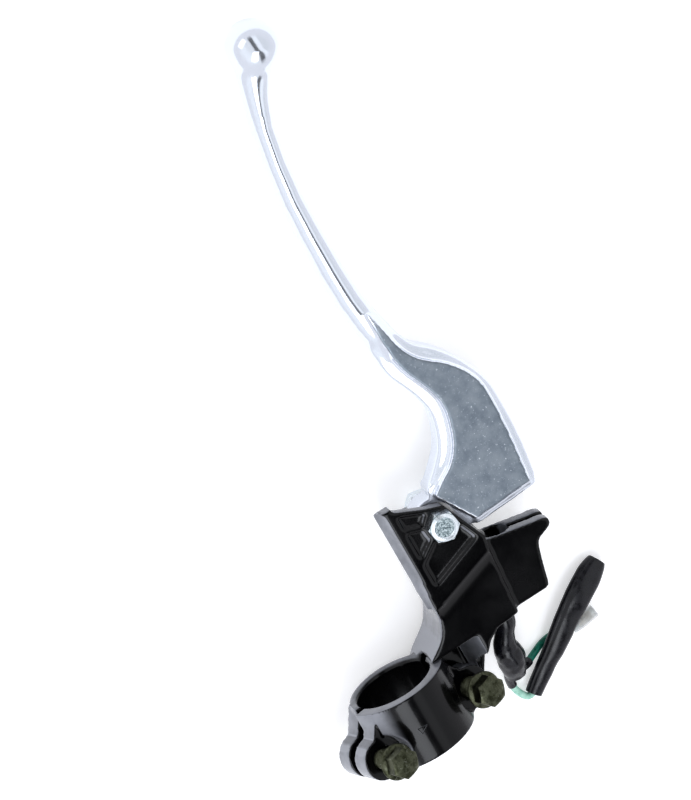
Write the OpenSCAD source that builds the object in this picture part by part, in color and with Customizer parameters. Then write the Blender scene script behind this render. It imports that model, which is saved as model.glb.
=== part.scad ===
// Clutch lever for the left end of a handlebar: a split perch that clamps the bar,
// a ball-ended lever on a pivot bolt, and a plunger switch with its short lead.
// Origin: on the handlebar's axis, inside the clamp.
// +X inboard along the bar, +Y forward, +Z up along the lever's pivot.

/* [Handlebar clamp] */
// Diameter of the handlebar the clamp grips
bar_d = 22.2; // [21.8:0.1:22.4]
// Width of the clamp along the bar
clamp_w = 20.2; // [19.8:0.1:20.6]
// Forward lean of the clamp bolts, in degrees
clamp_lean = 16.6; // [16:0.2:17]
// Distance between the two clamp bolts
bolt_spacing = 33.6; // [33.2:0.2:34]
// Gap between the clamp ears
ear_gap = 2.7; // [2:0.1:3]
// Thread left showing between the cap and each bolt's flange
bolt_standoff = 6.5; // [4:0.5:7]

/* [Perch] */
// Distance from the clamp bolts out to the lever pivot, along the bar
pivot_out = 47.6; // [47.5:0.1:47.7]
// Distance from the bar's axis forward to the lever pivot
pivot_fwd = 33.2; // [33.1:0.1:33.3]
// Overall height of the clevis
clevis_h = 15.6; // [15.4:0.1:16]
// Height of the slot that the lever's tongue turns in
slot_h = 8.4; // [8.4:0.1:8.6]
// Diameter of the cable adjuster's tapped hole
adjuster_d = 8; // [7:0.5:8]

/* [Lever] */
// Thickness of the lever's knuckle
knuckle_t = 12; // [11:0.5:12]
// Thickness of the tongue between the clevis plates
tongue_t = 7.7; // [7.4:0.1:7.7]
// Diameter of the ball at the lever's tip
ball_d = 16.6; // [16:0.2:17]
// Height of the blade, along the pivot axis
blade_h = 10.5; // [9:0.5:11.5]

/* [Pivot] */
// Diameter of the pivot bolt's shank
pivot_d = 5.8; // [5.6:0.1:5.8]
// Running clearance between the shank and the bush, on the radius
pivot_clearance = 0.05; // [0.03:0.01:0.08]

/* [Switch lead] */
// Diameter of each insulated wire
wire_d = 2.1; // [1.8:0.1:2.1]

/* [Hidden] */
$fn = 48;

eps = 0.01;
fit = 0.05;                       // gap between parts that are fixed together
pivot = [-pivot_out, pivot_fwd];
plate_top = clevis_h / 2;
slot_top = slot_h / 2;

// Clamp, in a frame that leans with the bolts
clamp_mid = -1.9;                 // middle of the clamp, along the bar
bolt_x = 1.2;                     // the bolts stand a little inboard of that middle
clamp_out_x = clamp_mid - clamp_w / 2;
clamp_in_x = clamp_mid + clamp_w / 2;
body_r = 13.6;
cap_r = 15.6;
ear_r = 6.2;
cap_ear_t = 6;
body_ear_t = 5.8;
ear_top = ear_gap / 2 + cap_ear_t;
bore_chamfer = 1;
bolt_d = 6;
bolt_len = 22.5;
bolt_hex = 8;
bolt_flange_d = 10.6;
bolt_flange_t = 1.3;
bolt_head_h = 6.2;

// Perch
arm_top = 6;
root_bottom = -12.4;
root_top = -4;
adjuster_y = 46;
adjuster_z = -0.4;
wing_top = 4.7;
wing_bottom = -5.4;
wing_in_x = -12.6;
wing_out_x = -35;
cable_slot_h = 2;
pocket_depth = 0.9;
cove_r = 9;
cove_reach = 8.4;
pivot_boss_r = 5.2;
lower_boss_r = 4.6;

// Lever
tongue_r = 6.8;
knuckle_step = 2.2;               // the knuckle's faces stand proud of its flanks by this
nipple_d = 8.2;
nipple_at = [-51.4, 46];
nipple_top = 3;
cable_slot_w = 2.4;
bush_wall = 1.3;
pivot_hex = 8.1;
nut_hex = 8.8;
nut_h = 4.6;
ball_at = [-195.7, 55.2];

// Switch
switch_y = 36.8;
switch_z = -2.5;
switch_r = 4.1;
switch_nose_x = -39.8;
switch_rear_x = -11;
switch_wall = 0.8;
screw_x = -22.4;
plunger_r = 1.5;
plunger_stem_r = 0.8;
plunger_tip_x = pivot[0] + tongue_r + 0.1;
plunger_collar_r = 2.4;
bridge_x = switch_nose_x + 6.2;
contact_w = 1.6;
contact_t = 0.4;

// Routes of the lead, chosen by hand
boot_route = [[-10.9, 36.8, -2.5], [-7.7, 36.2, -2.8], [-4.6, 34.7, -3.4], [-0.9, 33.3, -4.6],
    [4.1, 33.1, -6.2], [9.9, 32.4, -8.8]];
boot_radii = [3, 3.1, 2.8, 3.4, 4.1, 3];
long_route = [[2.6, 31.5, -5.8], [5.5, 31.2, -7], [8.2, 30.7, -8.3], [10.4, 30.3, -9.9],
    [12.9, 30.2, -11.5], [15.4, 30.4, -12.6], [17.7, 31.2, -12.9], [19.6, 32.6, -12.9],
    [19.2, 34.9, -12.9], [16.4, 38.5, -12.6], [12.7, 43.3, -11.6], [9.3, 47.4, -10.8],
    [6.1, 51.5, -10.5], [2.9, 55.9, -10.5], [0.2, 60.3, -10.8]];
short_route = [[2.6, 33.7, -5.8], [5.5, 33.4, -7], [7.7, 33.5, -8.1], [9.6, 34.6, -9.9],
    [10.6, 36.8, -12], [10, 40, -13.6], [8.9, 43.5, -14.3], [8.4, 47.2, -14.3],
    [8.8, 50.6, -14.2], [9.3, 52.8, -13.7], [9.5, 55, -13.4]];
sleeve_route = [[19.7, 34.4, -12.9], [16.4, 38.5, -12.6], [12.7, 43.3, -11.6], [9.3, 47.4, -10.8],
    [6.1, 51.5, -10.5], [2.9, 55.9, -10.5], [0.2, 60.3, -10.8], [-2.1, 64.7, -11.8],
    [-4, 68.6, -12.8]];
sleeve_half_w = [2.5, 2.9, 3.2, 3.5, 3.8, 4.1, 4.2, 4.2, 4];
sleeve_half_h = 2;
sleeve_wall = 0.7;
bullet_route = [[0.2, 60.3, -10.8], [-0.7, 62.1, -11.2], [-1.6, 63.8, -11.6]];
socket_route = [[9.5, 55, -13.4], [9.5, 56, -13.4], [9.2, 59.6, -13.4]];
cover_route = [[9.5, 53.2, -13.4], [9.5, 55.8, -13.4], [9.2, 58.4, -13.4], [8.8, 61, -13.4]];
cover_r = 1.9;
cover_inner_r = 1.35;

// ---------- curves ----------

// Point at t on the smooth curve that runs from b to c
function curve_point(a, b, c, d, t) = 0.5 * (2 * b + (c - a) * t
    + (2 * a - 5 * b + 4 * c - d) * t * t + (3 * b - a - 3 * c + d) * t * t * t);

// Smooth curve through every point of a list
function smooth(points, steps = 5) = let (last = len(points) - 1) [
    for (i = [0:last - 1], s = [0:steps - 1])
        curve_point(points[max(i - 1, 0)], points[i], points[i + 1],
            points[min(i + 2, last)], s / steps),
    points[last]
];

function unit(v) = v / norm(v);
function heading(path, i) = unit(path[min(i + 1, len(path) - 1)] - path[max(i - 1, 0)]);

// One oval ring across a path, half_w to the side and half_h upwards
function ring(path, i, half_w, half_h, sides) = let (
    along = heading(path, i),
    across = unit(cross(along, [0, 0, 1])),
    up = cross(across, along)
) [for (s = [0:sides - 1]) let (a = 360 * (s + 0.5) / sides)
    path[i] + across * half_w * cos(a) + up * half_h * sin(a)];

// Solid of oval rings along a path
module sweep(path, half_w, half_h, sides = 8) {
    rings = len(path);
    points = [for (i = [0:rings - 1]) each ring(path, i, half_w[i], half_h[i], sides)];
    walls = [for (i = [0:rings - 2], s = [0:sides - 1]) let (
        n = (s + 1) % sides, here = i * sides, next = here + sides
    ) each [[here + s, here + n, next + n], [here + s, next + n, next + s]]];
    start = [for (s = [sides - 1:-1:0]) s];
    end = [for (s = [0:sides - 1]) (rings - 1) * sides + s];
    polyhedron(points, concat([start, end], walls));
}

function same(value, path) = [for (p = path) value];

module wire(route) sweep(route, same(wire_d / 2, route), same(wire_d / 2, route));

// ---------- shared shapes ----------

module in_clamp_frame() rotate([-clamp_lean, 0, 0]) children();
module along_x(x, y = 0, z = 0) translate([x, y, z]) rotate([0, 90, 0]) children();
module at_pivot(z = 0) translate([pivot[0], pivot[1], z]) children();
module at_bolt(side) translate([bolt_x, side * bolt_spacing / 2, 0]) children();
module at_bolts() for (side = [-1, 1]) at_bolt(side) children();
module hexagon(across_flats) circle(d = across_flats / cos(30), $fn = 6);

module ear_plan() {
    at_bolts() circle(r = ear_r);
    for (side = [0, 1]) mirror([0, side]) polygon([
        [clamp_out_x, 0], [clamp_out_x, 12], [bolt_x - ear_r, bolt_spacing / 2],
        [bolt_x + ear_r, bolt_spacing / 2], [clamp_in_x, 11], [clamp_in_x, 0]]);
}

module bar_bore() {
    along_x(-clamp_w) cylinder(d = bar_d, h = 2 * clamp_w, $fn = 96);
    for (side = [0, 1]) translate([clamp_mid, 0, 0]) mirror([side, 0, 0])
        along_x(clamp_w / 2 - bore_chamfer)
            cylinder(r1 = bar_d / 2, r2 = bar_d / 2 + 2 * bore_chamfer, h = 2 * bore_chamfer,
                $fn = 96);
}

// ---------- perch ----------

module clevis_plan() polygon([
    [-60, 19.7], [-57, 25.4], [-54.2, 30.9], [-52.2, 36.2], [-36.8, 42.6],
    [-30.6, 24.1], [-26.4, 20.6], [-58, 20.6]]);

// The clevis below its upper plate, cut back under the lever
module lower_clevis_plan() {
    polygon([[-53.4, 20.6], [-51.6, 27], [-50.8, 31], [-48.6, 37.7], [-36.8, 42.6],
        [-30.6, 24.1], [-26.4, 20.6]]);
    translate(pivot) circle(r = lower_boss_r);
}

module arm_plan() polygon(concat(
    [[-38.4, 20.6], [-28, 19.4]],
    smooth([[-25.6, 19.7], [-21.4, 19.3], [-16.9, 16.8], [-12.9, 11.5]], 4),
    [[-10.4, 10], [3.6, 10], [3, 21], [-4.4, 25.5], [-8.9, 29.5], [-10.9, 33], [-11.4, 40],
        [-36.4, 42]]));

// Where the arm deepens to meet the lower half of the clamp
module root_plan() polygon(concat(
    smooth([[-22.6, 20.2], [-20.4, 19.2], [-16.9, 16.8], [-12.9, 11.5]], 3),
    [[-10.4, 9], [3.6, 9], [3.4, 23.9], [-2.9, 27.6], [-8.9, 29.5], [-14, 30.5], [-20, 27]]));

module wing_plan() polygon(concat(
    [[-37, 38], [wing_out_x, 41.6], [-31.6, 56.8]],
    smooth([[-31.4, 58.6], [-30.2, 60.4], [-28.2, 60], [-27, 57.4], [-25.6, 55], [-20, 53.2],
        [wing_in_x - 1.6, 51.8]], 4),
    [[wing_in_x - 0.4, 51.3], [wing_in_x, 50.4], [wing_in_x, 38]]));

// Recess in the clevis's upper plate, inside its rim
module pocket_plan() polygon([
    [-56.4, 23.4], [-52.8, 30.8], [-51, 35], [-38.6, 40.1], [-33, 24.8], [-32.6, 23.4]]);

module rib_plan(towards, width) {
    turn = atan2(towards[1] - pivot[1], towards[0] - pivot[0]);
    translate(pivot) rotate(turn) translate([0, -width / 2])
        square([norm(towards - pivot), width]);
}

module upper_pocket() translate([0, 0, plate_top - pocket_depth])
    linear_extrude(pocket_depth + eps) difference() {
        pocket_plan();
        translate(pivot) circle(r = pivot_boss_r);
        rib_plan([-51.6, 22.5], 1.3);
        rib_plan([-40, 22.5], 1.6);
    }

// Sloping rear edge of the clevis, widest just above the slot
module rear_lip() along_x(-59.4) rotate([0, 0, 90]) linear_extrude(33) polygon([
    [18.2, slot_top + 0.1], [18.6, 3.6], [21, 3.4], [23, 3.4], [23, plate_top], [21.4, plate_top]]);

// Hollow that falls away from the clevis's inboard edge down to the arm
module arm_cove() {
    ridge_end = [-30.6, 24.1];
    ridge_start = [-36.8, 42.6];
    across = ridge_end - ridge_start;
    translate([ridge_end[0], ridge_end[1], arm_top + cove_r])
        rotate([0, 0, atan2(across[1], across[0])]) translate([-40, cove_reach, 0]) {
            rotate([0, 90, 0]) cylinder(r = cove_r, h = 80, $fn = 96);
            translate([0, 0, -cove_r]) cube([80, 60, 20]);
        }
}

module lever_slot() translate([0, 0, -slot_top]) linear_extrude(slot_h) translate(pivot) {
    circle(r = tongue_r + 0.6);
    polygon([[-7.4, 0], [-40, -4], [-40, 40], [8.8, 40], [8.8, 7.4], [7.4, 6.6], [7.4, 0]]);
}

module perch_solid() {
    translate([0, 0, slot_top - eps]) linear_extrude(plate_top - slot_top + eps) clevis_plan();
    translate([0, 0, -plate_top]) linear_extrude(plate_top + slot_top) lower_clevis_plan();
    rear_lip();
    difference() {
        translate([0, 0, -plate_top]) linear_extrude(clevis_h) arm_plan();
        arm_cove();
    }
    translate([0, 0, root_bottom]) linear_extrude(root_top - root_bottom) root_plan();
    translate([0, 0, wing_bottom]) linear_extrude(wing_top - wing_bottom) wing_plan();
    translate([-37.6, 41.4, slot_top]) cylinder(r = 1.4, h = 2.4);
}

module perch_lower_clamp() in_clamp_frame() {
    intersection() {
        along_x(clamp_out_x) cylinder(r = body_r, h = clamp_w, $fn = 96);
        translate([clamp_out_x, -30, -30]) cube([clamp_w, 60, 30 - ear_gap / 2]);
    }
    translate([0, 0, -ear_gap / 2 - body_ear_t]) linear_extrude(body_ear_t) ear_plan();
}

module cap_clearance() in_clamp_frame()
    translate([clamp_out_x - 0.5, -40, -ear_gap / 2])
        cube([clamp_w + 30, 40 + bolt_spacing / 2 + ear_r + 0.8, 60]);

module perch_body() color([0.03, 0.03, 0.035]) difference() {
    union() {
        difference() {
            perch_solid();
            cap_clearance();
        }
        perch_lower_clamp();
    }
    in_clamp_frame() {
        bar_bore();
        at_bolts() translate([0, 0, -30]) cylinder(d = bolt_d + 2 * fit, h = 40);
    }
    lever_slot();
    upper_pocket();
    at_pivot(-20) cylinder(d = pivot_d + 2 * fit, h = 40);
    along_x(wing_out_x - 1, adjuster_y, adjuster_z) cylinder(d = adjuster_d, h = 40);
    translate([wing_out_x - 1, adjuster_y, adjuster_z - cable_slot_h / 2])
        cube([40, 20, cable_slot_h]);
    along_x(switch_nose_x - 2, switch_y, switch_z) cylinder(r = switch_r + fit, h = 60);
    translate([screw_x, switch_y, -20]) cylinder(d = 3 + 2 * fit, h = 20 + switch_z);
}

// ---------- clamp cap and bolts ----------

module clamp_cap() color([0.03, 0.03, 0.035]) in_clamp_frame() difference() {
    union() {
        intersection() {
            along_x(clamp_out_x) cylinder(r = cap_r, h = clamp_w, $fn = 96);
            translate([clamp_out_x, -30, ear_gap / 2]) cube([clamp_w, 60, 30]);
        }
        translate([0, 0, ear_gap / 2]) linear_extrude(cap_ear_t) ear_plan();
    }
    bar_bore();
    at_bolts() {
        cylinder(d = bolt_d + 0.6, h = 40);
        translate([0, 0, ear_top]) cylinder(r = ear_r + 0.5, h = 20);
    }
}

module flange_bolt() {
    under_head = ear_top + bolt_standoff;
    translate([0, 0, under_head - bolt_len]) cylinder(d = bolt_d, h = bolt_len);
    translate([0, 0, under_head]) cylinder(d = bolt_flange_d, h = bolt_flange_t);
    translate([0, 0, under_head]) linear_extrude(bolt_head_h - 1) hexagon(bolt_hex);
    translate([0, 0, under_head]) cylinder(d = bolt_hex - 0.4, h = bolt_head_h - 0.4);
    translate([0, 0, under_head]) cylinder(d = bolt_hex - 2.4, h = bolt_head_h);
}

module clamp_bolt_rear() color([0.24, 0.24, 0.2]) in_clamp_frame()
    at_bolt(-1) flange_bolt();
module clamp_bolt_front() color([0.24, 0.24, 0.2]) in_clamp_frame()
    at_bolt(1) flange_bolt();

// ---------- lever ----------

// Body outline of the knuckle at its middle height
module knuckle_plan() polygon(concat(
    smooth([[-101.4, 50], [-95.8, 52.4], [-91.4, 56.8], [-84.4, 61.6], [-76.4, 65], [-68.4, 65.9],
        [-54.4, 65.4], [-43.4, 64]], 4),
    [[-40.3, 62.8], [-39.4, 42.6], [-41.9, 41]],
    [[-53.4, 34.4], [-56.4, 35]],
    smooth([[-58.4, 37], [-61.9, 40.6], [-66.8, 44.2], [-75.4, 46.6], [-82.9, 45.2], [-92, 41.6],
        [-101.4, 40.6]], 4)));

// Flat upper and lower faces of the knuckle
module knuckle_face_plan() polygon(concat(
    smooth([[-112, 45.5], [-104.6, 47], [-98.4, 48.3], [-92.6, 51.3], [-86.4, 57.7], [-80.4, 61.6],
        [-73.6, 63.4], [-59.9, 62.9], [-46.8, 61.6]], 4),
    [[-43.2, 61.2], [-42.3, 43], [-54.6, 36]],
    smooth([[-57.4, 39.8], [-60.7, 44.6], [-66.2, 48.3], [-75.4, 50.7], [-82.4, 49.6], [-92, 45.9],
        [-100.7, 44.8], [-112, 44.5]], 4)));

module tongue_plan() {
    translate(pivot) circle(r = tongue_r);
    translate(pivot) polygon([[0, 0], [tongue_r, 0], [tongue_r, 9], [0, 12], [-6.4, 3]]);
}

blade_line = [[-96.4, 46.4, 0], [-101.4, 45.4, 0], [-108.4, 44, 0], [-117.4, 43, 0],
    [-127.4, 42.7, 0], [-139.4, 42.8, 0], [-151.4, 43.2, 0], [-163.4, 44.5, 0],
    [-174.4, 46.4, 0], [-182.4, 48.9, 0], [-188.4, 51.4, 0], [-192.4, 53.4, 0]];
blade_half_w = [4.9, 4.8, 4.6, 4.5, 4.4, 4.2, 4, 3.8, 3.8, 4.4, 5.6, 6.6];

module nipple_pocket() translate([nipple_at[0], nipple_at[1], -knuckle_t]) {
    cylinder(d = nipple_d, h = knuckle_t + nipple_top);
    translate([0, -cable_slot_w / 2, 0])
        cube([20, cable_slot_w, knuckle_t + adjuster_z + cable_slot_w / 2]);
}

module lever() color([0.72, 0.74, 0.77]) difference() {
    union() {
        translate([0, 0, -knuckle_t / 2 + knuckle_step])
            linear_extrude(knuckle_t - 2 * knuckle_step) knuckle_plan();
        translate([0, 0, -knuckle_t / 2]) linear_extrude(knuckle_t) knuckle_face_plan();
        translate([0, 0, -tongue_t / 2]) linear_extrude(tongue_t) tongue_plan();
        sweep(blade_line, blade_half_w, same(blade_h / 2, blade_line), 16);
        translate([ball_at[0], ball_at[1], 0]) rotate([0, 0, 170]) sphere(d = ball_d);
    }
    at_pivot(-20) cylinder(r = pivot_d / 2 + pivot_clearance + bush_wall, h = 40);
    nipple_pocket();
}

// ---------- pivot ----------

module pivot_bush() color([0.7, 0.55, 0.3]) at_pivot(-tongue_t / 2) difference() {
    cylinder(r = pivot_d / 2 + pivot_clearance + bush_wall, h = tongue_t);
    translate([0, 0, -1]) cylinder(r = pivot_d / 2 + pivot_clearance, h = tongue_t + 2);
}

module pivot_bolt() color([0.88, 0.9, 0.92]) at_pivot() {
    head_h = 4;
    head_turn = 40;
    dish_depth = 0.5;
    tip = 5.6;                    // reaches this far below the clevis, past the nut
    difference() {
        translate([0, 0, plate_top]) linear_extrude(head_h) rotate(head_turn) hexagon(pivot_hex);
        translate([0, 0, plate_top + head_h - dish_depth]) cylinder(d = 6, h = 1);
    }
    translate([0, 0, -plate_top - tip]) cylinder(d = pivot_d, h = clevis_h + tip + 1);
}

module pivot_nut() color([0.85, 0.87, 0.88]) at_pivot(-plate_top - nut_h) difference() {
    linear_extrude(nut_h) hexagon(nut_hex);
    translate([0, 0, -1]) cylinder(d = pivot_d + 2 * fit, h = nut_h + 2);
}

module thrust_washers() color([0.75, 0.76, 0.78]) for (side = [0, 1]) mirror([0, 0, side])
    at_pivot(tongue_t / 2 + 0.05) difference() {
        cylinder(r = 5.4, h = 0.25);
        translate([0, 0, -1]) cylinder(d = pivot_d + 2 * fit, h = 2);
    }

// ---------- clutch switch ----------

module on_switch_axis(x) along_x(x, switch_y, switch_z) children();

module switch_housing() color([0.08, 0.08, 0.08]) difference() {
    on_switch_axis(switch_nose_x) cylinder(r = switch_r, h = switch_rear_x - switch_nose_x);
    on_switch_axis(switch_nose_x + 1.2) cylinder(r = switch_r - switch_wall, h = 40);
    on_switch_axis(switch_nose_x - 1) cylinder(r = plunger_r + fit, h = 4);
}

module switch_plunger() color([0.85, 0.83, 0.76]) {
    on_switch_axis(plunger_tip_x + plunger_r)
        cylinder(r = plunger_r, h = switch_nose_x + 4 - plunger_tip_x - plunger_r);
    translate([plunger_tip_x + plunger_r, switch_y, switch_z]) sphere(r = plunger_r);
    on_switch_axis(switch_nose_x + 2.2) cylinder(r = plunger_collar_r, h = 1);
    on_switch_axis(switch_nose_x + 3) cylinder(r = plunger_stem_r, h = 8);
}

module contact_bridge() color([0.8, 0.6, 0.3]) difference() {
    on_switch_axis(bridge_x) cylinder(r = 2.2, h = 0.5);
    on_switch_axis(bridge_x - 1) cylinder(r = plunger_stem_r, h = 3);
}

// Coil spring behind the contact bridge
module plunger_spring() color([0.75, 0.76, 0.78]) {
    turns = 5;
    steps = 12;
    coil = [for (i = [0:turns * steps]) let (a = 360 * i / steps)
        [bridge_x + 0.85 + 9.4 * i / (turns * steps), switch_y + 1.5 * cos(a),
            switch_z + 1.5 * sin(a)]];
    sweep(coil, same(0.22, coil), same(0.22, coil), 6);
}

// Fixed contact along one wall of the housing; turn is 0 or 180
module fixed_contact(turn) translate([0, switch_y, switch_z]) rotate([turn, 0, 0]) {
    translate([bridge_x - 1.3, 1.2, -contact_w / 2]) cube([contact_t, 1.4, contact_w]);
    translate([bridge_x - 1.3, 2.3, -contact_w / 2]) cube([23, contact_t, contact_w]);
}
module contact_front() color([0.8, 0.6, 0.3]) fixed_contact(0);
module contact_rear() color([0.8, 0.6, 0.3]) fixed_contact(180);

module switch_end_plug() color([0.15, 0.15, 0.15]) difference() {
    on_switch_axis(bridge_x + 10.6) cylinder(r = switch_r - switch_wall - fit, h = 3);
    for (turn = [0, 180]) translate([0, switch_y, switch_z]) rotate([turn, 0, 0])
        translate([bridge_x, 2.3 - fit, -contact_w / 2 - fit])
            cube([30, contact_t + 2 * fit, contact_w + 2 * fit]);
}

module switch_screw() color([0.8, 0.82, 0.84]) translate([screw_x, switch_y, 0]) {
    translate([0, 0, -plate_top - 1.9]) difference() {
        cylinder(d = 5.4, h = 1.9);
        translate([-3, -0.4, -1]) cube([6, 0.8, 1.8]);
    }
    translate([0, 0, -plate_top - eps])
        cylinder(d = 3, h = plate_top + eps + switch_z - switch_r - fit);
}

// ---------- lead ----------

module lead_boot() color([0.05, 0.05, 0.05]) {
    path = smooth(boot_route, 3);
    radii = smooth(boot_radii, 3);
    sweep(path, radii, radii, 16);
}

module wire_long() color([0.6, 0.85, 0.75]) wire(long_route);
module wire_short() color([0.0, 0.4, 0.3]) wire(short_route);

module lead_sleeve() color([0.06, 0.06, 0.08]) difference() {
    sweep(sleeve_route, sleeve_half_w, same(sleeve_half_h, sleeve_route), 16);
    sweep(sleeve_route, [for (w = sleeve_half_w) w - sleeve_wall],
        same(sleeve_half_h - sleeve_wall, sleeve_route), 16);
}

module bullet_terminal() color([0.8, 0.68, 0.4]) {
    radii = [0.9, 1.15, 1.15];
    sweep(bullet_route, radii, radii, 12);
}

module socket_terminal() color([0.8, 0.68, 0.4]) {
    radii = [0.9, 1.2, 1.2];
    sweep(socket_route, radii, radii, 12);
}

module connector_cover() color([0.7, 0.72, 0.72, 0.6]) difference() {
    sweep(cover_route, same(cover_r, cover_route), same(cover_r, cover_route), 16);
    sweep(cover_route, same(cover_inner_r, cover_route), same(cover_inner_r, cover_route), 16);
}

perch_body();
clamp_cap();
clamp_bolt_rear();
clamp_bolt_front();
lever();
pivot_bush();
pivot_bolt();
pivot_nut();
thrust_washers();
switch_housing();
switch_plunger();
plunger_spring();
contact_bridge();
contact_front();
contact_rear();
switch_end_plug();
switch_screw();
lead_boot();
wire_long();
wire_short();
lead_sleeve();
bullet_terminal();
socket_terminal();
connector_cover();
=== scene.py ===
"""Clutch lever: a ball-ended alloy lever in a black split-clamp perch, with a switch lead.

Lengths are written in millimetres and brought to metres by MM.
"""

import math

import bmesh
import bpy
from mathutils import Matrix, Vector, noise


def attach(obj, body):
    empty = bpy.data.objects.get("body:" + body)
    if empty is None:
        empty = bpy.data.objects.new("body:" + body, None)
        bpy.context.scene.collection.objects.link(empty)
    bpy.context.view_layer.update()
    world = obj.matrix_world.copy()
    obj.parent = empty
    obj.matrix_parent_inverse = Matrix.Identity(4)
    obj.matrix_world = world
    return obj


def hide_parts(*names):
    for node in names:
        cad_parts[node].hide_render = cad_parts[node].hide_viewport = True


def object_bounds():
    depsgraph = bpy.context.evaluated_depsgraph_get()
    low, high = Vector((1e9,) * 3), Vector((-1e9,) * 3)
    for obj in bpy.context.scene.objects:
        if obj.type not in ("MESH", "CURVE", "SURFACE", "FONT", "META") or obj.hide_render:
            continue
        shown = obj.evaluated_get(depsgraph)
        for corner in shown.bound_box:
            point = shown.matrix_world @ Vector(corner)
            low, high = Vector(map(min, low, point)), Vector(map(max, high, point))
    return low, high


MM = 0.001

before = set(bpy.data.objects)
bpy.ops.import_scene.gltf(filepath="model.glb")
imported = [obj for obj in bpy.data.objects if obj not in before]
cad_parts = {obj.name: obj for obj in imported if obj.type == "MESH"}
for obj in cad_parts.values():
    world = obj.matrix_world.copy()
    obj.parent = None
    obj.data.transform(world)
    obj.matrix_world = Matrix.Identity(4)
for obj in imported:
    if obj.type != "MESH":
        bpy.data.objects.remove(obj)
cad_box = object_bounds()

# Sizes shared with the solid model
CLAMP_LEAN = 16.6
BOLT_SPACING = 33.6
EAR_TOP = 7.35
BOLT_STANDOFF = 6.5
BOLT_X = 1.2
BOLT_LEN = 22.5
CAP_R = 15.6
ARROW = [(-2.4, 98), (-2.1, 87), (-0.5, 96)]
PIVOT = (-47.6, 33.2)
BALL = (-195.7, 55.2)
NECK_WAY = (0.904, -0.428)
PLATE_TOP = 7.8
WIRE_D = 2.1

BOOT_ROUTE = [(-10.9, 36.8, -2.5), (-7.7, 36.2, -2.8), (-4.6, 34.7, -3.4), (-0.9, 33.3, -4.6),
              (4.1, 33.1, -6.2), (9.9, 32.4, -8.8)]
BOOT_RADII = [3, 3.1, 2.8, 3.4, 4.1, 3]
LONG_ROUTE = [(2.6, 31.5, -5.8), (5.5, 31.2, -7), (8.2, 30.7, -8.3), (10.4, 30.3, -9.9),
              (12.9, 30.2, -11.5), (15.4, 30.4, -12.6), (17.7, 31.2, -12.9), (19.6, 32.6, -12.9),
              (19.2, 34.9, -12.9), (16.4, 38.5, -12.6), (12.7, 43.3, -11.6), (9.3, 47.4, -10.8),
              (6.1, 51.5, -10.5), (2.9, 55.9, -10.5), (0.2, 60.3, -10.8)]
SHORT_ROUTE = [(2.6, 33.7, -5.8), (5.5, 33.4, -7), (7.7, 33.5, -8.1), (9.6, 34.6, -9.9),
               (10.6, 36.8, -12), (10, 40, -13.6), (8.9, 43.5, -14.3), (8.4, 47.2, -14.3),
               (8.8, 50.6, -14.2), (9.3, 52.8, -13.7), (9.5, 55, -13.4)]
NOZZLE_R = 1.55
SLEEVE_ROUTE = [(19.7, 34.4, -12.9), (16.4, 38.5, -12.6), (12.7, 43.3, -11.6), (9.3, 47.4, -10.8),
                (6.1, 51.5, -10.5), (2.9, 55.9, -10.5), (0.2, 60.3, -10.8), (-2.1, 64.7, -11.8),
                (-4, 68.6, -12.8)]
SLEEVE_HALF_W = [2.5, 2.9, 3.2, 3.5, 3.8, 4.1, 4.2, 4.2, 4]
SLEEVE_HALF_H = 2
BULLET_ROUTE = [(0.2, 60.3, -10.8), (-0.7, 62.1, -11.2), (-1.6, 63.8, -11.6)]
SOCKET_ROUTE = [(9.5, 55, -13.4), (9.5, 56, -13.4), (9.2, 59.6, -13.4)]
COVER_ROUTE = [(9.5, 53.2, -13.4), (9.5, 55.8, -13.4), (9.2, 58.4, -13.4), (8.8, 61, -13.4)]
COVER_R = 1.9


# ---------- camera ----------

CAMERA_AIM = (-91.4, 28.5, 0)
CAMERA_BACK = (-0.385, -0.107, 0.911)
CAMERA_UP = (-0.797, 0.541, -0.283)
CAMERA_DISTANCE = 8
SEEN_HEIGHT = 0.2222
SENSOR = 36


def make_camera():
    """A long lens from far off, so that sizes hardly change with depth."""
    aim = Vector(CAMERA_AIM) * MM
    back = Vector(CAMERA_BACK).normalized()
    right = Vector(CAMERA_UP).cross(back).normalized()
    up = back.cross(right).normalized()
    camera = bpy.data.objects.new("camera", bpy.data.cameras.new("camera"))
    bpy.context.collection.objects.link(camera)
    camera.data.sensor_width = SENSOR
    camera.data.lens = SENSOR * CAMERA_DISTANCE / SEEN_HEIGHT
    camera.data.clip_start = 5
    camera.data.clip_end = 40
    axes = Matrix((right, up, back)).transposed().to_4x4()
    camera.matrix_world = Matrix.Translation(aim + back * CAMERA_DISTANCE) @ axes
    bpy.context.scene.camera = camera


# ---------- curves and routes ----------

def smooth(points, steps=6):
    """Smooth curve through every point of a list of numbers or places."""
    points = [Vector(p) if hasattr(p, "__len__") else Vector((p, 0, 0)) for p in points]
    last = len(points) - 1
    out = []
    for i in range(last):
        a, b, c, d = (points[max(i - 1, 0)], points[i], points[i + 1],
                      points[min(i + 2, last)])
        for s in range(steps):
            t = s / steps
            out.append(0.5 * (2 * b + (c - a) * t + (2 * a - 5 * b + 4 * c - d) * t * t
                              + (3 * b - a - 3 * c + d) * t ** 3))
    return out + [points[last]]


def smooth_sizes(sizes, steps=6):
    return [p.x for p in smooth(sizes, steps)]


def curve_length(points):
    return sum((b - a).length for a, b in zip(points, points[1:]))


# ---------- meshes ----------

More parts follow.
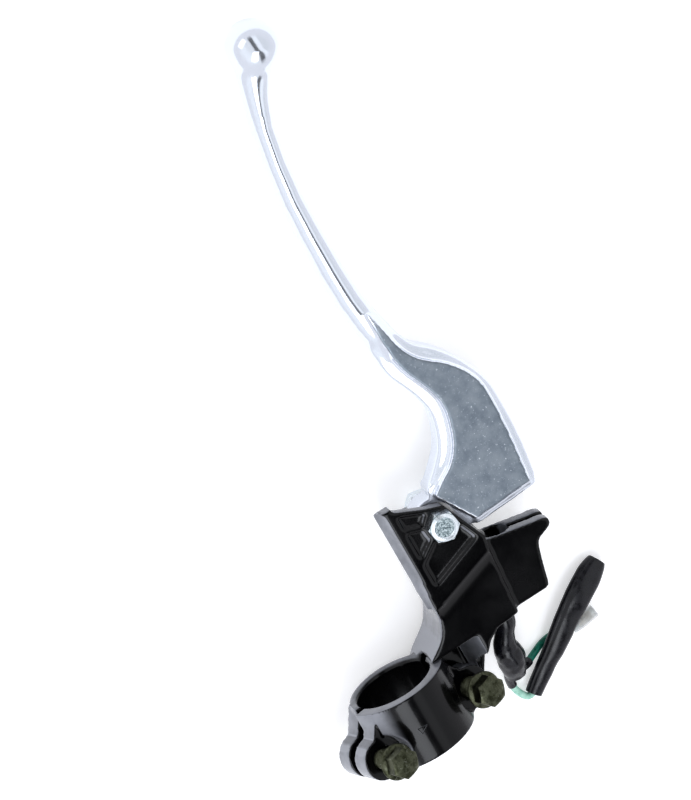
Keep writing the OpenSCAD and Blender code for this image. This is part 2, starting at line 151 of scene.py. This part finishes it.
def finish_mesh(bm, name, sharp_angle=40):
    """Turns a bmesh in millimetres into an object in metres."""
    bmesh.ops.scale(bm, vec=(MM, MM, MM), verts=bm.verts)
    bmesh.ops.remove_doubles(bm, verts=bm.verts, dist=1e-7)
    bmesh.ops.recalc_face_normals(bm, faces=bm.faces)
    for face in bm.faces:
        face.smooth = True
    for edge in bm.edges:
        edge.smooth = not (edge.is_manifold
                           and edge.calc_face_angle(0) > math.radians(sharp_angle))
    mesh = bpy.data.meshes.new(name)
    bm.to_mesh(mesh)
    bm.free()
    piece = bpy.data.objects.new(name, mesh)
    bpy.context.collection.objects.link(piece)
    return piece


def bevel(bm, edges, width, segments=3):
    bmesh.ops.bevel(bm, geom=edges, offset=width, offset_type="OFFSET", segments=segments,
                    profile=0.5, affect="EDGES", clamp_overlap=True, material=-1)


def ring_frame(path, i):
    """Frame across a path: x to the side, y upwards, z along it."""
    along = (path[min(i + 1, len(path) - 1)] - path[max(i - 1, 0)]).normalized()
    across = along.cross(Vector((0, 0, 1))).normalized()
    rise = across.cross(along)
    turn = Matrix((across, rise, along)).transposed().to_4x4()
    return Matrix.Translation(path[i]) @ turn


def tube(bm, path, half_w, half_h, segments, caps=True):
    """Oval rings joined along a path, in millimetres."""
    made = bmesh.ops.create_circle(bm, segments=segments, radius=1, cap_ends=caps)
    verts = made["verts"]
    edges = {e for v in verts for e in v.link_edges}
    size = Matrix.Diagonal((half_w[0], half_h[0], 1, 1))
    now = ring_frame(path, 0) @ size
    bmesh.ops.transform(bm, matrix=now, verts=verts)
    rings = [verts]
    for i in range(1, len(path)):
        grown = bmesh.ops.extrude_edge_only(bm, edges=list(edges))["geom"]
        verts = [g for g in grown if isinstance(g, bmesh.types.BMVert)]
        edges = {g for g in grown if isinstance(g, bmesh.types.BMEdge)
                 and all(v in verts for v in g.verts)}
        goal = ring_frame(path, i) @ Matrix.Diagonal((half_w[i], half_h[i], 1, 1))
        bmesh.ops.transform(bm, matrix=goal @ now.inverted(), verts=verts)
        now = goal
        rings.append(verts)
    if caps:
        bmesh.ops.contextual_create(bm, geom=list(edges))
    return rings


def wire_tube(name, route, diameter):
    """A round wire along a route, and its centreline in metres."""
    path = smooth(route, 3)
    sizes = [diameter / 2] * len(path)
    bm = bmesh.new()
    tube(bm, path, sizes, sizes, 24)
    return finish_mesh(bm, name, 60), [p * MM for p in path]


def lathe(bm, profile, steps=48):
    """Turns a profile of (radius, height) points about Z."""
    verts = [bm.verts.new((r, 0, z)) for r, z in profile]
    edges = [bm.edges.new(pair) for pair in zip(verts, verts[1:])]
    return bmesh.ops.spin(bm, geom=verts + edges, cent=(0, 0, 0), axis=(0, 0, 1),
                          angle=2 * math.pi, steps=steps, use_merge=True)


def evaluated_copy(piece, name):
    """A plain mesh object holding a piece with its modifiers applied."""
    graph = bpy.context.evaluated_depsgraph_get()
    mesh = bpy.data.meshes.new_from_object(piece.evaluated_get(graph))
    out = bpy.data.objects.new(name, mesh)
    bpy.context.collection.objects.link(out)
    bpy.data.objects.remove(piece)
    return out


def cast_copy(node, name, voxel, rounds, relaxed=()):
    """A CAD node's shape with the soft edges of a casting.

    relaxed lists the further smoothings: each is a function that gives its weight,
    from 0 to 1, at a place in metres, and its number of rounds.
    """
    bm = bmesh.new()
    bm.from_mesh(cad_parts[node].data)
    bmesh.ops.remove_doubles(bm, verts=bm.verts, dist=1e-6)
    mesh = bpy.data.meshes.new(name)
    bm.to_mesh(mesh)
    bm.free()
    rough = bpy.data.objects.new(name + "_rough", mesh)
    bpy.context.collection.objects.link(rough)
    remesh = rough.modifiers.new("cast", "REMESH")
    remesh.mode = "VOXEL"
    remesh.voxel_size = voxel * MM
    remesh.use_smooth_shade = True
    soften = rough.modifiers.new("soften", "SMOOTH")
    soften.factor = 0.5
    soften.iterations = rounds
    cast = evaluated_copy(rough, name)
    for weight_at, more_rounds in relaxed:
        group = cast.vertex_groups.new(name="relaxed")
        for vert in cast.data.vertices:
            weight = weight_at(vert.co)
            if weight > 0:
                group.add([vert.index], weight, "REPLACE")
        relax = cast.modifiers.new("relax", "SMOOTH")
        relax.factor = 0.5
        relax.iterations = more_rounds
        relax.vertex_group = group.name
        cast = evaluated_copy(cast, name)
    return cast


# ---------- fasteners ----------

BOLT_R = 3
BOLT_HEX = 8
PIVOT_R = 2.9
PIVOT_HEX = 8.1
NUT_HEX = 8.8
NUT_H = 4.6
PIVOT_TIP = 5.6


def chamfered_hexagon(name, across, height, dome, turn=0):
    """A hexagonal prism whose top corners are turned off; its foot is at z = 0."""
    prism = bmesh.new()
    bmesh.ops.create_cone(prism, cap_ends=True, segments=6, radius1=across / math.sqrt(3),
                          radius2=across / math.sqrt(3), depth=height,
                          matrix=Matrix.Rotation(math.radians(turn), 4, "Z")
                          @ Matrix.Translation((0, 0, height / 2)))
    sides = [e for e in prism.edges if abs(e.verts[0].co.z - e.verts[1].co.z) > height / 2]
    bevel(prism, sides, 0.18, 2)
    prism = finish_mesh(prism, name + "_prism")
    turned = bmesh.new()
    r = across / 2
    lathe(turned, [(0, -1), (r * 1.4, -1), (r * 1.4, height - 1.35), (r * 1.1, height - 0.62),
                   (r * 0.98, height - 0.3), (r * 0.86, height - 0.1), (r * 0.72, height),
                   (r * 0.4, height + dome * 0.75), (0, height + dome)], 64)
    turned = finish_mesh(turned, name + "_turned")
    if dome > 0:
        for vert in prism.data.vertices:
            if vert.co.z > height * MM * 0.5:
                vert.co.z += dome * MM * 1.2
    cut = prism.modifiers.new("corners", "BOOLEAN")
    cut.operation = "INTERSECT"
    cut.object = turned
    cut.solver = "EXACT"
    head = evaluated_copy(prism, name)
    bpy.data.objects.remove(turned)
    return head


def add_piece(bm, piece):
    """Moves a finished piece's mesh into a bmesh in millimetres."""
    own = bmesh.new()
    own.from_mesh(piece.data)
    bmesh.ops.scale(own, vec=(1 / MM,) * 3, verts=own.verts)
    mesh = bpy.data.meshes.new("part")
    own.to_mesh(mesh)
    own.free()
    bm.from_mesh(mesh)
    bpy.data.meshes.remove(mesh)
    bpy.data.objects.remove(piece)


def threaded_shank(bm, radius, bottom, top, pitch=1.0, depth=0.42):
    """A helical V thread between two heights, around a core."""
    core = radius - depth
    middle = Matrix.Translation((0, 0, (top + bottom) / 2))
    bmesh.ops.create_cone(bm, cap_ends=True, segments=48, radius1=core, radius2=core,
                          depth=top - bottom, matrix=middle)
    turns = (top - bottom) / pitch - 1
    steps = int(turns * 28)
    ridge = [(core - 0.02, bottom), (radius, bottom + pitch * 0.42),
             (radius, bottom + pitch * 0.52), (core - 0.02, bottom + pitch * 0.94)]
    verts = [bm.verts.new((r, 0, z)) for r, z in ridge]
    edges = [bm.edges.new(pair) for pair in zip(verts, verts[1:])]
    bmesh.ops.spin(bm, geom=verts + edges, cent=(0, 0, 0), axis=(0, 0, 1),
                   dvec=(0, 0, (top - bottom - pitch) / steps), angle=2 * math.pi * turns,
                   steps=steps, use_merge=False)


def clamp_bolt(name, side):
    """Flanged hexagon bolt with a domed head and its thread showing under the flange."""
    head = chamfered_hexagon(name + "_head", BOLT_HEX, 4.6, 0.7, 10)
    bm = bmesh.new()
    add_piece(bm, head)
    bmesh.ops.translate(bm, vec=(0, 0, 0.8), verts=bm.verts)
    flange = [(0, -0.02), (4.4, -0.02), (5.1, 0.1), (5.3, 0.4), (5.25, 0.75), (5.0, 1.0),
              (4.5, 1.25), (3.9, 1.5), (0, 1.6)]
    lathe(bm, flange, 64)
    threaded_shank(bm, BOLT_R, -BOLT_LEN, 0)
    base = (Matrix.Rotation(math.radians(-CLAMP_LEAN), 4, "X")
            @ Matrix.Translation((BOLT_X, side * BOLT_SPACING / 2, EAR_TOP + BOLT_STANDOFF)))
    bmesh.ops.transform(bm, matrix=base, verts=bm.verts)
    return finish_mesh(bm, name)


def pivot_fastener():
    """Bright hexagon bolt with a shallow dished head, seen from above."""
    head = chamfered_hexagon("pivot_head", PIVOT_HEX, 4, 0, 40)
    dish = bmesh.new()
    lathe(dish, [(0, 3.55), (2.7, 3.55), (2.95, 3.7), (3.15, 4.05), (3.2, 4.5), (0, 4.5)], 64)
    dish = finish_mesh(dish, "pivot_dish")
    cut = head.modifiers.new("dish", "BOOLEAN")
    cut.operation = "DIFFERENCE"
    cut.object = dish
    cut.solver = "EXACT"
    head = evaluated_copy(head, "pivot_head_cut")
    bpy.data.objects.remove(dish)
    bm = bmesh.new()
    add_piece(bm, head)
    bmesh.ops.translate(bm, vec=(0, 0, PLATE_TOP), verts=bm.verts)
    bmesh.ops.create_cone(bm, cap_ends=True, segments=48, radius1=PIVOT_R, radius2=PIVOT_R,
                          depth=2 * PLATE_TOP + 0.5, matrix=Matrix.Translation((0, 0, 0.2)))
    threaded_shank(bm, PIVOT_R, -PLATE_TOP - PIVOT_TIP, -PLATE_TOP)
    bmesh.ops.translate(bm, vec=(*PIVOT, 0), verts=bm.verts)
    return finish_mesh(bm, "pivot_screw", 30)


def pivot_locknut():
    nut = chamfered_hexagon("nut_body", NUT_HEX, NUT_H, 0, 12)
    bm = bmesh.new()
    add_piece(bm, nut)
    bmesh.ops.rotate(bm, cent=(0, 0, 0), matrix=Matrix.Rotation(math.pi, 3, "X"), verts=bm.verts)
    bmesh.ops.translate(bm, vec=(*PIVOT, -PLATE_TOP), verts=bm.verts)
    return finish_mesh(bm, "pivot_locknut", 30)


# ---------- soft pieces of the lead ----------

def rubber_boot():
    path = smooth(BOOT_ROUTE, 10)
    radii = smooth_sizes(BOOT_RADII, 10)
    bm = bmesh.new()
    tube(bm, path, radii, radii, 36)
    bmesh.ops.recalc_face_normals(bm, faces=bm.faces)
    for vert in bm.verts:
        lump = min(max((vert.co.x + 6) / 8, 0), 1)
        swell = noise.noise(vert.co * 0.42) * 0.34 + noise.noise(vert.co * 0.95) * 0.16
        vert.co += vert.normal * swell * lump
    for route in (LONG_ROUTE, SHORT_ROUTE):
        stub = smooth(route, 6)[6:27]
        sizes = [NOZZLE_R * (1 - 0.12 * i / len(stub)) for i in range(len(stub))]
        tube(bm, stub, sizes, sizes, 28)
    return finish_mesh(bm, "rubber_boot", 60)


def vinyl_sleeve():
    """Flattened sleeve with a moulded seam along its outboard edge."""
    path = smooth(SLEEVE_ROUTE, 8)
    half_w = smooth_sizes(SLEEVE_HALF_W, 8)
    for i in range(1, 13):
        half_w[-i] *= 1 - 0.4 * (1 - i / 13) ** 2
    bm = bmesh.new()
    rings = tube(bm, path, [w - 0.02 for w in half_w], [SLEEVE_HALF_H - 0.02] * len(path), 48,
                 caps=False)
    bmesh.ops.recalc_face_normals(bm, faces=bm.faces)
    for i, ring in enumerate(rings):
        here = ring_frame(path, i).inverted()
        end = min(1, i / 10, (len(rings) - 1 - i) / 14)
        for vert in ring:
            place = here @ vert.co
            across = place.x / half_w[i]
            groove = math.exp(-((across + 0.62) / 0.07) ** 2) if place.y > 0 else 0
            dent = noise.noise(vert.co * 0.16 + Vector((3, 1, 0))) * 0.5 * end
            vert.co += vert.normal * (-0.22 * groove + min(dent, 0) - 0.1 * end)
    bmesh.ops.solidify(bm, geom=bm.faces[:], thickness=0.6)
    return finish_mesh(bm, "vinyl_sleeve", 60)


def clear_cover():
    path = smooth(COVER_ROUTE, 6)
    bm = bmesh.new()
    tube(bm, path, [COVER_R] * len(path), [COVER_R] * len(path), 40, caps=False)
    bmesh.ops.recalc_face_normals(bm, faces=bm.faces)
    bmesh.ops.solidify(bm, geom=bm.faces[:], thickness=0.5)
    return finish_mesh(bm, "clear_cover", 40)


def crimped_end(name, route, radii):
    path = smooth(route, 8)
    sizes = smooth_sizes(radii, 8)
    sizes = [s * (0.86 if 5 <= i <= 7 else 1) for i, s in enumerate(sizes)]
    bm = bmesh.new()
    tube(bm, path, sizes, sizes, 32)
    return finish_mesh(bm, name, 35)


# ---------- materials ----------

class Signal:
    """A shader socket that takes part in arithmetic."""

    def __init__(self, maker, socket):
        self.maker = maker
        self.socket = socket

    def _math(self, operation, other, swap=False):
        pair = (other, self) if swap else (self, other)
        return self.maker.add("ShaderNodeMath", {"operation": operation}, *pair)

    def __add__(self, other):
        return self._math("ADD", other)

    __radd__ = __add__

    def __sub__(self, other):
        return self._math("SUBTRACT", other)

    def __rsub__(self, other):
        return self._math("SUBTRACT", other, True)

    def __mul__(self, other):
        return self._math("MULTIPLY", other)

    __rmul__ = __mul__


class Finish:
    """Builds one procedural material."""

    def __init__(self, name, **constants):
        self.material = bpy.data.materials.new(name)
        self.material.use_nodes = True
        self.nodes = self.material.node_tree.nodes
        self.links = self.material.node_tree.links
        self.shader = self.nodes["Principled BSDF"]
        for socket, value in constants.items():
            self.shader.inputs[socket.replace("_", " ")].default_value = value
        self.place = self.add("ShaderNodeTexCoord", {}, out="Object")

    def add(self, kind, settings, *values, out=0, **named):
        """Adds a node: its settings first, then the values or links of its sockets."""
        node = self.nodes.new(kind)
        for key, value in settings.items():
            if key == "stops":
                ramp = node.color_ramp
                for position, colour in value[1:-1]:
                    ramp.elements.new(position)
                for element, (position, colour) in zip(ramp.elements, value):
                    element.position = position
                    element.color = colour
            else:
                setattr(node, key, value)
        pairs = [*enumerate(values), *((k.replace("_", " "), v) for k, v in named.items())]
        for key, value in pairs:
            if isinstance(value, Signal):
                self.links.new(value.socket, node.inputs[key])
            else:
                node.inputs[key].default_value = value
        return Signal(self, node.outputs[out])

    def noise(self, scale, detail=4.0, roughness=0.55, place=None, out="Fac"):
        return self.add("ShaderNodeTexNoise", {}, out=out, Vector=place or self.place,
                        Scale=scale, Detail=detail, Roughness=roughness)

    def band(self, value, low, high, to_low=0.0, to_high=1.0):
        """Goes smoothly from to_low to to_high while value goes from low to high."""
        return self.add("ShaderNodeMapRange", {"interpolation_type": "SMOOTHSTEP"}, value,
                        low, high, to_low, to_high)

    def blend(self, mask, first, second):
        """Goes from the first colour to the second as mask goes from 0 to 1."""
        node = self.nodes.new("ShaderNodeMix")
        node.data_type = "RGBA"
        for index, value in ((0, mask), (6, first), (7, second)):
            if isinstance(value, Signal):
                self.links.new(value.socket, node.inputs[index])
            else:
                node.inputs[index].default_value = value
        return Signal(self, node.outputs[2])

    def axis(self, letter):
        return self.add("ShaderNodeSeparateXYZ", {}, self.place, out=letter)

    def facing(self, letter):
        normal = self.add("ShaderNodeNewGeometry", {}, out="Normal")
        return self.add("ShaderNodeSeparateXYZ", {}, normal, out=letter)

    def stretched(self, x, y, z, turn=0.0):
        """Object place with its pattern stretched, for streaks along one direction."""
        return self.add("ShaderNodeMapping", {}, self.place, (0, 0, 0),
                        (0, 0, math.radians(turn)), (x, y, z))

    def link(self, socket, value):
        self.links.new(value.socket, self.shader.inputs[socket])

    def bump(self, height, distance_mm, strength=1.0):
        relief = self.add("ShaderNodeBump", {}, out="Normal", Strength=strength,
                          Distance=distance_mm * MM, Height=height)
        self.link("Normal", relief)


def black_paint():
    """Glossy black, with a painted pale reflection, patchy by noise, on the walls that face
    outboard and to the rear.
    """
    f = Finish("black_paint", Coat_Weight=0.32, Coat_Roughness=0.06, Specular_IOR_Level=0.22)
    peel = f.noise(900, 3)
    wave = f.noise(120, 2)
    dust = f.band(f.noise(2600, 5), 0.66, 0.78) * 0.35
    black = f.blend(dust, (0.0012, 0.0012, 0.0018, 1), (0.02, 0.02, 0.023, 1))
    away = f.axis("Y") * f.axis("Y") + f.axis("Z") * f.axis("Z")
    outside = f.band(away * 1e6, 150, 165)
    rear = f.band(f.facing("Y") * -1, 0.35, 0.6) * outside
    outboard = f.band(f.facing("X") * -1, 0.6, 0.85)
    # painted reflection: walls facing the rear and outboard are lightened towards grey, patchy by
    # noise, standing in for the bright floor they reflect
    painted_wall_reflection = f.band(f.noise(160, 5), 0.25, 0.75, 0.65, 1) * (rear + outboard * 0.7)
    f.link("Base Color", f.blend(painted_wall_reflection, black, (0.3, 0.31, 0.34, 1)))
    f.link("Roughness", f.band(f.noise(60, 5), 0.35, 0.7, 0.16, 0.28))
    f.bump(peel * 0.35 + wave, 0.12, 0.22)
    return f.material


def lever_alloy():
    """Polished flanks, satin upper and lower faces with fine bright specks."""
    f = Finish("lever_alloy", Specular_IOR_Level=0.6)
    up = f.axis("Z")
    flat = f.facing("Z")
    satin = (f.band(flat * flat, 0.45, 0.6) * f.band(up * up * 1e6, 30.5, 32.5)
             * f.band(f.axis("X"), -0.118, -0.1))
    mottle = f.noise(260, 6, 0.7)
    specks = f.band(f.noise(1700, 4, 0.75), 0.63, 0.67)
    cloud = f.blend(f.band(mottle, 0.3, 0.7), (0.19, 0.22, 0.255, 1), (0.255, 0.285, 0.315, 1))
    satin_colour = f.blend(specks * 0.7, cloud, (0.8, 0.84, 0.9, 1))
    hair = f.noise(500, 3, 0.5, f.stretched(1, 14, 14, 8))
    bright = f.blend(f.band(hair, 0.35, 0.65), (0.71, 0.75, 0.82, 1), (0.75, 0.79, 0.86, 1))
    # distance in millimetres outboard of the knuckle face's end, towards the clevis
    beyond = (f.axis("X") * 1000 + 54.6) * 0.495 - (f.axis("Y") * 1000 - 36) * 0.869
    shoulder = f.band(beyond, 0.1, 0.4) * f.band(up * up * 1e6, 12.0, 14.0) * (1 - satin)
    # edge is a painted highlight: a near-white line along the rounded end of the knuckle face,
    # where that edge catches the light; it also lowers the metallic there
    edge = (f.band(beyond, -0.55, -0.25) * f.band(beyond, 0.3, 0.1)
            * f.band(up * up * 1e6, 27, 31))
    dull = f.band(satin + shoulder, 0, 1)
    satin_colour = f.blend(shoulder, satin_colour, (0.46, 0.48, 0.53, 1))
    f.link("Base Color", f.blend(edge, f.blend(dull, bright, satin_colour), (0.9, 0.9, 0.95, 1)))
    f.link("Metallic", f.band(dull - edge * 0.5, 0, 1, 0.84, 1))
    f.link("Roughness", f.band(hair, 0.3, 0.7, 0.1, 0.17) * (1 - dull)
           + dull * f.band(mottle, 0.3, 0.7, 0.34, 0.46))
    f.bump(f.noise(1400, 5, 0.7) * dull + hair * 0.08, 0.03, 0.5)
    return f.material


def bright_zinc():
    f = Finish("bright_zinc", Metallic=1.0)
    grain = f.noise(1800, 5, 0.75)
    rise = f.axis("Z")
    dish = f.band(rise * 1000, 11.45, 11.42)
    floor = f.blend(f.band(grain, 0.4, 0.62), (0.2, 0.26, 0.28, 1), (0.62, 0.7, 0.72, 1))
    plate = f.blend(f.noise(300, 3), (0.72, 0.8, 0.86, 1), (0.93, 0.96, 0.98, 1))
    on_top = f.band(rise * 1000, 11.2, 11.3)
    f.link("Base Color", f.blend(dish * on_top, plate, floor))
    f.link("Roughness", f.band(grain, 0.3, 0.7, 0.22, 0.36))
    f.bump(grain, 0.05, 0.5)
    return f.material


def olive_steel():
    """Passivated steel of the clamp bolts, worn lighter in patches."""
    f = Finish("olive_steel", Metallic=1.0)
    stain = f.noise(420, 6, 0.7)
    fine = f.noise(2200, 4)
    rubbed = f.band(f.noise(700, 6, 0.8), 0.56, 0.68)
    base = f.blend(f.band(stain, 0.35, 0.65), (0.035, 0.038, 0.022, 1), (0.11, 0.115, 0.08, 1))
    f.link("Base Color", f.blend(rubbed * 0.6, base, (0.3, 0.31, 0.27, 1)))
    f.link("Roughness", f.band(stain, 0.3, 0.7, 0.3, 0.48))
    f.bump(fine, 0.04, 0.5)
    return f.material


def plain_metal(name, dark, light, roughness):
    f = Finish(name, Metallic=1.0)
    grain = f.noise(900, 5, 0.7)
    f.link("Base Color", f.blend(f.band(grain, 0.3, 0.7), dark, light))
    f.link("Roughness", f.band(grain, 0.3, 0.7, roughness, roughness + 0.12))
    f.bump(f.noise(2400, 3), 0.02, 0.4)
    return f.material


def plain_plastic(name, dark, light, roughness, scale=700):
    f = Finish(name, Specular_IOR_Level=0.5)
    grain = f.noise(scale, 5, 0.6)
    f.link("Base Color", f.blend(f.band(grain, 0.3, 0.7), dark, light))
    f.link("Roughness", f.band(grain, 0.3, 0.7, roughness, roughness + 0.12))
    f.bump(f.noise(scale * 3, 3), 0.03, 0.4)
    return f.material


def clear_vinyl():
    f = Finish("clear_vinyl", Specular_IOR_Level=0.5)
    haze = f.noise(500, 4)
    f.link("Base Color", f.blend(haze, (0.5, 0.52, 0.52, 1), (0.72, 0.74, 0.74, 1)))
    f.link("Roughness", f.band(haze, 0.3, 0.7, 0.2, 0.34))
    f.link("Alpha", f.band(haze, 0.2, 0.8, 0.42, 0.62))
    f.bump(f.noise(900, 3), 0.03, 0.4)
    return f.material


def use(piece, material):
    piece.data.materials.clear()
    piece.data.materials.append(material)


# ---------- room ----------

def soft_light(name, place, aim, width, height, radiance, colour=(1, 1, 1)):
    data = bpy.data.lights.new(name, "AREA")
    data.shape = "RECTANGLE"
    data.size = width
    data.size_y = height
    data.energy = radiance * math.pi * width * height
    data.color = colour
    lamp = bpy.data.objects.new(name, data)
    bpy.context.collection.objects.link(lamp)
    lamp.location = place
    lamp.rotation_euler = (Vector(place) - Vector(aim)).to_track_quat("Z", "Y").to_euler()


# Brightness of the sky by direction, from the rear to the front
SKY_BANDS = [(-1, 0.92), (-0.5, 0.92), (-0.4, 0.8), (-0.05, 0.8), (0.0, 0.03), (0.2, 0.03),
             (0.27, 0.98), (0.46, 0.98), (0.56, 0.72), (1, 0.72)]
HORIZON = 0.8
FLOOR_GLOW = 0.36


def make_room():
    low = cad_box[0].z
    bm = bmesh.new()
    bmesh.ops.create_grid(bm, x_segments=1, y_segments=1, size=3,
                          matrix=Matrix.Translation((0, 0, low - 0.0002)))
    mesh = bpy.data.meshes.new("floor")
    bm.to_mesh(mesh)
    bm.free()
    floor = bpy.data.objects.new("floor", mesh)
    bpy.context.collection.objects.link(floor)
    pale = bpy.data.materials.new("pale_floor")
    pale.use_nodes = True
    shader = pale.node_tree.nodes["Principled BSDF"]
    shader.inputs["Base Color"].default_value = (0.85, 0.85, 0.86, 1)
    shader.inputs["Roughness"].default_value = 0.9
    shader.inputs["Specular IOR Level"].default_value = 0
    shader.inputs["Emission Color"].default_value = (1, 1, 1, 1)
    shader.inputs["Emission Strength"].default_value = FLOOR_GLOW
    mesh.materials.append(pale)

    make_sky()
    bpy.context.scene.view_settings.view_transform = "Standard"
    bpy.context.scene.view_settings.look = "Medium High Contrast"
    middle = Vector((-0.05, 0.03, 0))
    soft_light("key", middle + Vector((0.385, -0.22, 0.9)) * 1.3, middle, 0.5, 0.9, 3.0,
               (0.92, 0.95, 1))
    soft_light("side", middle + Vector((-0.9, -0.5, 0.5)) * 1.4, middle, 0.9, 0.5, 0.8)


def make_sky():
    """Bright bands and one dark one, fading to an even horizon, for the metal to reflect."""
    world = bpy.context.scene.world or bpy.data.worlds.new("room")
    bpy.context.scene.world = world
    world.use_nodes = True
    tree = world.node_tree
    sky = tree.nodes["Background"]
    way = tree.nodes.new("ShaderNodeTexCoord")
    parts = tree.nodes.new("ShaderNodeSeparateXYZ")
    ramp = tree.nodes.new("ShaderNodeValToRGB")
    span = tree.nodes.new("ShaderNodeMapRange")
    span.inputs["From Min"].default_value = -1
    tree.links.new(way.outputs["Generated"], parts.inputs[0])
    tree.links.new(parts.outputs["Y"], span.inputs["Value"])
    tree.links.new(span.outputs[0], ramp.inputs[0])
    rise = tree.nodes.new("ShaderNodeMapRange")
    rise.inputs["From Min"].default_value = 0.4
    rise.inputs["From Max"].default_value = 0.6
    mix = tree.nodes.new("ShaderNodeMix")
    mix.data_type = "RGBA"
    mix.inputs[6].default_value = (HORIZON, HORIZON, HORIZON * 1.05, 1)
    tree.links.new(parts.outputs["Z"], rise.inputs["Value"])
    tree.links.new(rise.outputs[0], mix.inputs[0])
    tree.links.new(ramp.outputs[0], mix.inputs[7])
    tree.links.new(mix.outputs[2], sky.inputs["Color"])
    for place, _ in SKY_BANDS[1:-1]:
        ramp.color_ramp.elements.new((place + 1) / 2)
    for element, (place, light) in zip(ramp.color_ramp.elements, SKY_BANDS):
        element.position = (place + 1) / 2
        element.color = (light, light * 1.02, light * 1.06, 1)


# ---------- the object ----------

def replace(piece, body, *nodes):
    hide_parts(*nodes)
    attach(piece, body)
    return piece


def make_lead():
    # The two wires are one green painted twice: the mint is its painted lit look, the dark green
    # its painted shaded look
    lit_green = plain_plastic("lit_green_wire", (0.32, 0.62, 0.5, 1), (0.5, 0.78, 0.66, 1), 0.25)
    shaded_green = plain_plastic("shaded_green_wire", (0.0, 0.1, 0.065, 1), (0.0, 0.19, 0.13, 1), 0.25)
    brass = plain_metal("terminal_brass", (0.62, 0.42, 0.16, 1), (0.8, 0.6, 0.3, 1), 0.25)
    vinyl = plain_plastic("black_vinyl", (0.003, 0.003, 0.005, 1), (0.008, 0.008, 0.012, 1), 0.22)
    rubber = plain_plastic("boot_rubber", (0.002, 0.002, 0.004, 1), (0.007, 0.007, 0.012, 1), 0.2)

    sleeve = replace(vinyl_sleeve(), "perch", "lead_sleeve")
    boot = replace(rubber_boot(), "perch", "lead_boot")
    bullet = replace(crimped_end("bullet_end", BULLET_ROUTE, [0.9, 1.15, 1.15]), "perch",
                     "bullet_terminal")
    socket = replace(crimped_end("socket_end", SOCKET_ROUTE, [0.9, 1.2, 1.2]), "perch",
                     "socket_terminal")
    cover = replace(clear_cover(), "perch", "connector_cover")
    for piece, material in ((sleeve, vinyl), (boot, rubber), (bullet, brass), (socket, brass),
                            (cover, clear_vinyl())):
        use(piece, material)

    for name, node, route, with_pieces, material in (
            ("lit_green_lead", "wire_long", LONG_ROUTE, [sleeve, bullet], lit_green),
            ("shaded_green_lead", "wire_short", SHORT_ROUTE, [socket, cover], shaded_green)):
        wire, line = wire_tube(name, route, WIRE_D)
        replace(wire, "perch", node)
        use(wire, material)
        [c * MM for c in route[2]]
        round(curve_length(line), 4)


def add_arrow(cap):
    """Raised triangular outline on the cap's crown, pointing forward."""
    bm = bmesh.new()
    add_piece(bm, cap)
    corners = []
    for x, angle in ARROW:
        turn = math.radians(angle)
        corners.append(Vector((x, CAP_R * math.cos(turn), CAP_R * math.sin(turn))))
    for i in range(3):
        tube(bm, [corners[i], corners[(i + 1) % 3]], [0.16] * 2, [0.16] * 2, 12)
    return finish_mesh(bm, "cap_casting", 60)


def make_castings():
    paint = black_paint()
    perch = replace(cast_copy("perch_body", "perch_casting", 0.45, 6), "perch", "perch_body")
    cap = replace(add_arrow(cast_copy("clamp_cap", "cap_rough", 0.35, 6)), "perch", "clamp_cap")
    use(perch, paint)
    use(cap, paint)


KNUCKLE_END_X = -104
FLANK_TOP = 5.55
PIVOT_CLEAR = 10.2


def on_flank(place):
    """1 on the knuckle's drafted sides, away from its flat faces and from the pivot."""
    x, y, z = place / MM
    from_pivot = math.hypot(x - PIVOT[0], y - PIVOT[1])
    return float(x > KNUCKLE_END_X and abs(z) < FLANK_TOP and from_pivot > PIVOT_CLEAR)


def on_neck(place):
    """1 where the blade runs into the ball, falling to 0 on both sides."""
    x, y, _ = place / MM
    past_ball = (x - BALL[0]) * NECK_WAY[0] + (y - BALL[1]) * NECK_WAY[1]
    return min(max(min((past_ball + 1) / 3, (19 - past_ball) / 8), 0), 1)


def make_lever():
    cast = cast_copy("lever", "alloy_lever", 0.4, 6, ((on_flank, 60), (on_neck, 220)))
    lever = replace(cast, "lever", "lever")
    use(lever, lever_alloy())


def make_fasteners():
    steel = olive_steel()
    for name, node, side in (("rear_clamp_bolt", "clamp_bolt_rear", -1),
                             ("front_clamp_bolt", "clamp_bolt_front", 1)):
        use(replace(clamp_bolt(name, side), "perch", node), steel)
    zinc = bright_zinc()
    use(replace(pivot_fastener(), "perch", "pivot_bolt"), zinc)
    use(replace(pivot_locknut(), "perch", "pivot_nut"), zinc)


def finish_carried_nodes():
    """Gives the solid model's own pieces their materials."""
    brass = plain_metal("contact_brass", (0.5, 0.3, 0.1, 1), (0.78, 0.55, 0.25, 1), 0.25)
    steel = plain_metal("plain_steel", (0.4, 0.4, 0.4, 1), (0.66, 0.66, 0.66, 1), 0.3)
    black = plain_plastic("switch_plastic", (0.004, 0.004, 0.004, 1), (0.012, 0.012, 0.012, 1),
                          0.35)
    finishes = {
        "pivot_bush": plain_metal("bush_bronze", (0.35, 0.2, 0.08, 1), (0.55, 0.36, 0.18, 1), 0.3),
        "thrust_washers": steel,
        "plunger_spring": steel,
        "switch_screw": steel,
        "switch_housing": black,
        "switch_end_plug": black,
        "switch_plunger": plain_plastic("plunger_plastic", (0.6, 0.57, 0.48, 1),
                                        (0.76, 0.73, 0.64, 1), 0.35),
        "contact_bridge": brass,
        "contact_front": brass,
        "contact_rear": brass,
    }
    for node, material in finishes.items():
        use(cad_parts[node], material)


make_camera()
make_lead()
make_castings()
make_lever()
make_fasteners()
finish_carried_nodes()
make_room()
